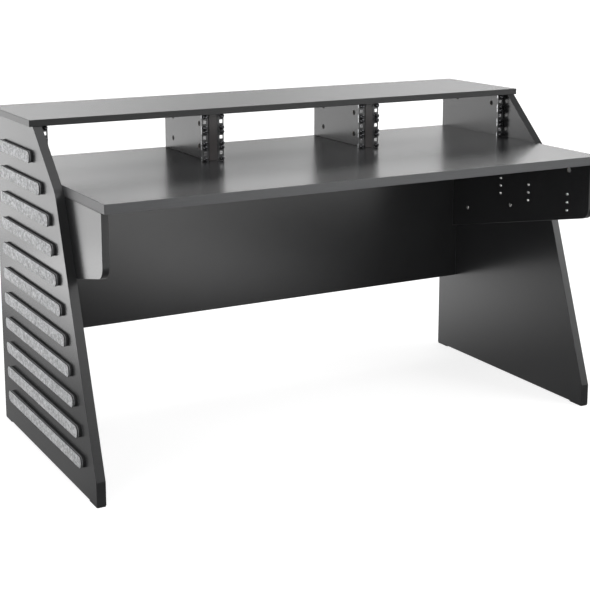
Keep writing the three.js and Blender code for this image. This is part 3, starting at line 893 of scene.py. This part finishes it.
def strip_mesh(y0, y1, z0, s, seed):
    """One felt bar: a finely divided front that is a little uneven, a soft rim, walls with the layers of the felt."""
    def put(u, v, w):
        return Vector((s * (OUTER + BACKING_T + w), u, z0 + STRIP_H / 2 + v)) * MM

    length, r, h = y1 - y0 - 2 * RIM, STRIP_R - RIM, STRIP_H - 2 * RIM
    ends = [r * (1 - math.cos(math.pi / 2 * i / 7)) for i in range(8)]
    n = max(4, int((length - 2 * r) / 4.5))
    us = ends + [r + (length - 2 * r) * i / n for i in range(1, n)] + [length - e for e in reversed(ends)]
    cols = 10
    verts, faces, mats = [], [], []

    def waviness(u, v):
        p = Vector((u * 0.05 + 13.7 * seed, v * 0.08, seed * 3.1))
        q = Vector((u * 0.22 + 5.1 * seed, v * 0.25, 9.0))
        return 0.16 * noise.noise(p) + 0.12 * noise.noise(q)

    grid = []
    for u in us:
        hh = half_height(u, length, r, h)
        row = []
        for j in range(cols + 1):
            v = -hh + 2 * hh * j / cols
            edge = min(1.0, min(j, cols - j) / 2, min(u, length - u) / 5)
            row.append(len(verts))
            verts.append((y0 + RIM + u, v, FELT_T - 0.05 + waviness(u, v) * edge - 0.12 * edge))
        grid.append(row)
    rows = len(us)
    for i in range(rows - 1):
        for j in range(cols):
            faces.append((grid[i][j], grid[i + 1][j], grid[i + 1][j + 1], grid[i][j + 1]))
            mats.append(0)
    loop = [grid[i][0] for i in range(rows)] + [grid[-1][j] for j in range(1, cols + 1)] + [grid[i][cols] for i in range(rows - 2, -1, -1)] + [grid[0][j] for j in range(cols - 1, 0, -1)]
    flat = [Vector(verts[k][:2]) for k in loop]
    m = len(loop)
    normals = []
    for i in range(m):
        a, b = flat[i] - flat[i - 1], flat[(i + 1) % m] - flat[i]
        t = (a.normalized() + b.normalized())
        t.normalize()
        normals.append(Vector((t.y, -t.x)))
    steps = [(RIM * math.sin(t), FELT_T - RIM + RIM * math.cos(t)) for t in (math.pi / 2 * k / 4 for k in range(1, 5))]
    steps += [(RIM - 0.08, 4.3), (RIM - 0.18, 3.7), (RIM + 0.0, 3.3), (RIM - 0.02, 2.9), (RIM - 0.18, 2.5), (RIM - 0.10, 1.4), (RIM - 0.05, 0.4), (RIM - 0.35, 0.0)]
    previous = loop
    for k, (out, w) in enumerate(steps):
        ring = []
        for i in range(m):
            p = flat[i]
            q = Vector((p.x * 0.30 + 11.0 * seed, p.y * 0.30, w * 0.5))
            fuzz = 0.10 * noise.noise(q) - 0.08 if k >= 4 else 0.0
            o = flat[i] + normals[i] * (out + fuzz)
            ring.append(len(verts))
            verts.append((o.x, o.y, w))
        for i in range(m):
            j = (i + 1) % m
            faces.append((previous[i], previous[j], ring[j], ring[i]))
            mats.append(0 if k < 1 else 1)
        previous = ring
    faces.append(tuple(reversed(previous)))
    mats.append(1)
    me = bpy.data.meshes.new("strip")
    me.from_pydata([put(*v) for v in verts], [], faces)
    me.polygons.foreach_set("material_index", mats)
    bm = bmesh.new()
    bm.from_mesh(me)
    bmesh.ops.recalc_face_normals(bm, faces=bm.faces)
    bpy.data.meshes.remove(me)
    return bm


def backing_mesh(y0, y1, z0, s):
    d = 1.0
    outline = rounded([(y0 + d, z0 + d, STRIP_R - d), (y1 - d, z0 + d, STRIP_R - d), (y1 - d, z0 + STRIP_H - d, STRIP_R - d), (y0 + d, z0 + STRIP_H - d, STRIP_R - d)], 7)
    bm = bmesh.new()
    rings = []
    for e, w in ((0.35, 0.0), (0.0, 0.35), (0.0, BACKING_T - 0.35), (0.35, BACKING_T)):
        rings.append([bm.verts.new(Vector((s * (OUTER + w), p.x, p.y)) * MM) for p in inset(outline, e)])
    for a, b in zip(rings, rings[1:]):
        ring_faces(bm, a, b, 0)
    bm.faces.new(rings[0])
    bm.faces.new(rings[-1])
    bmesh.ops.recalc_face_normals(bm, faces=bm.faces)
    return bm


for side, s in (("left", -1), ("right", 1)):
    for i in range(1, 12):
        node = f"side_strip_{side}_{i:02d}"
        lo, hi = mm_box(node)
        new_object(f"strip_felt_{side}_{i:02d}", strip_mesh(lo[1], hi[1], lo[2], s, i + (20 if s > 0 else 0)), (FELT, FELT_CUT_PAINTED_LIGHT), replaces=(node,), sharp=60, weighted=False)
        new_object(f"strip_backing_{side}_{i:02d}", backing_mesh(lo[1], hi[1], lo[2], s), (BACKING,), sharp=40)


# ---------------------------------------------------------------- floor glides
for side in ("left", "right"):
    for where in ("front", "rear"):
        lo, hi = mm_box(f"glide_{side}_{where}")
        outline = rounded([(lo[0], lo[1], 4), (hi[0], lo[1], 4), (hi[0], hi[1], 4), (lo[0], hi[1], 4)], 5)
        bm = bmesh.new()
        rings = []
        for e, w in ((0.7, 0.0), (0.25, 0.2), (0.0, 0.7), (0.0, hi[2] - 0.0)):
            rings.append([bm.verts.new(Vector((p.x, p.y, lo[2] + w)) * MM) for p in inset(outline, e)])
        for a, b in zip(rings, rings[1:]):
            ring_faces(bm, a, b, 0)
        bm.faces.new(rings[0])
        bm.faces.new(rings[-1])
        bmesh.ops.recalc_face_normals(bm, faces=bm.faces)
        new_object(f"floor_glide_{side}_{where}", bm, (PLASTIC,), replaces=(f"glide_{side}_{where}",), sharp=40)

for me in (CAM, BOLT, INSERT, RACK_SCREW, CUP, CAGE_NUT, WOOD_SCREW):
    bpy.data.meshes.remove(me)


# ---------------------------------------------------------------- floor, surroundings and light
# Soft panels round the desk. Azimuth in degrees from +Y towards +X: (centre, half width, fade);
# height above the horizon in degrees: (low, high, fade); brightness.
SKY_BASE = 0.04
SKY = (
    ("backdrop_low", (-5.5, 45, 6), (-2.4, 2.3, 3), 4.50),
    ("backdrop", (12.3, 8, 5), (10.4, 15.7, 3), 3.33),
    ("backdrop_high", (68.7, 90, 15), (24.2, 31.6, 3), 3.14),
    ("backdrop_right", (44.9, 8, 5.8), (11.4, 24.9, 3), 3.40),
    ("middle", (26, 7, 4.5), (7.8, 16.5, 3), 0.90),
    ("above_shelf", (30, 14, 5), (20.5, 30, 2.5), 1.50),
    ("mid_right", (35, 4.5, 4), (8.2, 15, 2.5), 1.20),
    ("left_card", (315, 8, 5), (-6.8, 18.4, 6.7), 4.80),
    ("left_high", (322, 5, 4), (5.5, 10.5, 2.5), 4.00),
    ("key", (141.7, 15.6, 5), (15.5, 47.6, 4), 4.44),
    ("front_top", (191, 11.4, 5), (32.9, 64, 4), 2.15),
    ("left_soft", (250, 20, 6), (23, 64, 4), 1.90),
    ("front_low", (329, 8, 5), (24, 32.3, 4), 3.60),
    ("camera_fill", (222, 15, 6), (-2, 15, 4), 2.50),
    ("edge_light", (241, 4, 3), (3, 15, 3.5), 11.0),
    ("top", (0, 400, 1), (60, 200, 8), 1.57),
)
# Painted pools of light that the floor glows with, in metres: X (low, high, fade), Y (low, high, fade), brightness.
POOL_BASE = 0.08
POOLS = (
    ("behind", (-12.0, 27.7, 0.6), (2.70, 94, 0.5), 2.02),
    ("behind_near", (0.17, 19.6, 1.38), (0.87, 12.2, 0.88), 4.47),
    ("left", (-2.05, -1.39, 0.35), (0.62, 2.45, 0.32), 4.44),
    ("left_far", (-2.55, -1.85, 0.25), (2.35, 3.2, 0.3), 1.90),
    ("front", (0.10, 0.85, 0.4), (-2.80, -0.85, 0.4), 3.00),
    ("front_right", (0.38, 11.5, 0.35), (-4.86, -2.86, 0.4), 4.45),
    ("right", (-1.66, 22.8, 0.4), (-0.41, 1.24, 0.35), 0.30),
    ("front_far", (1.52, 10.9, 0.4), (-6.9, -5.2, 0.4), 2.48),
    ("front_left", (-7.0, -2.2, 0.6), (-7.0, -1.2, 0.6), 1.50),
)


def make_floor():
    """A pale floor: its picture is plain and nearly white, and to all other rays it glows with painted pools of light,
    which light the desk and show in its reflections.
    """
    me = bpy.data.meshes.new("floor")
    n, r = 96, 12.0
    me.from_pydata([(r * math.cos(2 * math.pi * k / n), r * math.sin(2 * math.pi * k / n), 0) for k in range(n)], [], [tuple(range(n))])
    obj = bpy.data.objects.new("floor", me)
    scene.collection.objects.link(obj)
    mat = bpy.data.materials.new("floor_pale")
    mat.use_nodes = True
    n = Nodes(mat.node_tree)
    xyz = n.node("ShaderNodeSeparateXYZ")
    n.link(n.node("ShaderNodeTexCoord").outputs["Object"], xyz.inputs[0])
    light = POOL_BASE
    for name, across, along, amount in POOLS:
        spot = n.math("MULTIPLY", n.window(xyz.outputs[0], *across), n.window(xyz.outputs[1], *along))
        light = n.math("MULTIPLY_ADD", spot, amount, light)
    # the floor's painted pools of light, a glow seen by all rays but the camera's
    painted_pools = n.node("ShaderNodeEmission")
    n.link(light, painted_pools.inputs["Strength"])
    pale = n.node("ShaderNodeBsdfDiffuse")
    pale.inputs["Color"].default_value = (0.42, 0.42, 0.42, 1)
    glow = n.node("ShaderNodeEmission")
    glow.inputs["Strength"].default_value = 0.78
    seen = n.node("ShaderNodeAddShader")
    n.link(pale.outputs[0], seen.inputs[0])
    n.link(glow.outputs[0], seen.inputs[1])
    choose = n.node("ShaderNodeMixShader")
    n.link(n.node("ShaderNodeLightPath").outputs["Is Camera Ray"], choose.inputs[0])
    n.link(painted_pools.outputs[0], choose.inputs[1])
    n.link(seen.outputs[0], choose.inputs[2])
    n.link(choose.outputs[0], n.node("ShaderNodeOutputMaterial").inputs[0])
    me.materials.append(mat)
    return obj


def make_studio():
    """The studio all round, far away: a dark room with soft panels, and white where the camera looks straight at it."""
    world = bpy.data.worlds.new("studio")
    scene.world = world
    world.use_nodes = True
    n = Nodes(world.node_tree)
    xyz = n.node("ShaderNodeSeparateXYZ")
    n.link(n.node("ShaderNodeTexCoord").outputs["Generated"], xyz.inputs[0])
    azimuth = n.math("MULTIPLY", n.math("ARCTAN2", xyz.outputs[0], xyz.outputs[1]), 180 / math.pi)
    height = n.math("MULTIPLY", n.math("ARCSINE", xyz.outputs[2]), 180 / math.pi)
    light = SKY_BASE
    for name, (centre, half, fade), tall, amount in SKY:
        away = n.math("ABSOLUTE", n.math("WRAP", n.math("SUBTRACT", azimuth, centre), 180.0, -180.0))
        panel = n.math("MULTIPLY", n.span(away, half - fade, half + fade, 1, 0, True), n.window(height, *tall))
        light = n.math("MULTIPLY_ADD", panel, amount, light)
    room = n.node("ShaderNodeBackground")
    room.inputs["Color"].default_value = (1, 1, 1, 1)
    n.link(light, room.inputs["Strength"])
    plain = n.node("ShaderNodeBackground")
    plain.inputs["Color"].default_value = (1, 1, 1, 1)
    plain.inputs["Strength"].default_value = 1.1
    choose = n.node("ShaderNodeMixShader")
    n.link(n.node("ShaderNodeLightPath").outputs["Is Camera Ray"], choose.inputs[0])
    n.link(room.outputs[0], choose.inputs[1])
    n.link(plain.outputs[0], choose.inputs[2])
    n.link(choose.outputs[0], n.node("ShaderNodeOutputWorld").inputs[0])


make_floor()
make_studio()

scene.view_settings.view_transform = "Standard"
scene.view_settings.look = "None"
scene.view_settings.exposure = 0.0
scene.view_settings.gamma = 1.0
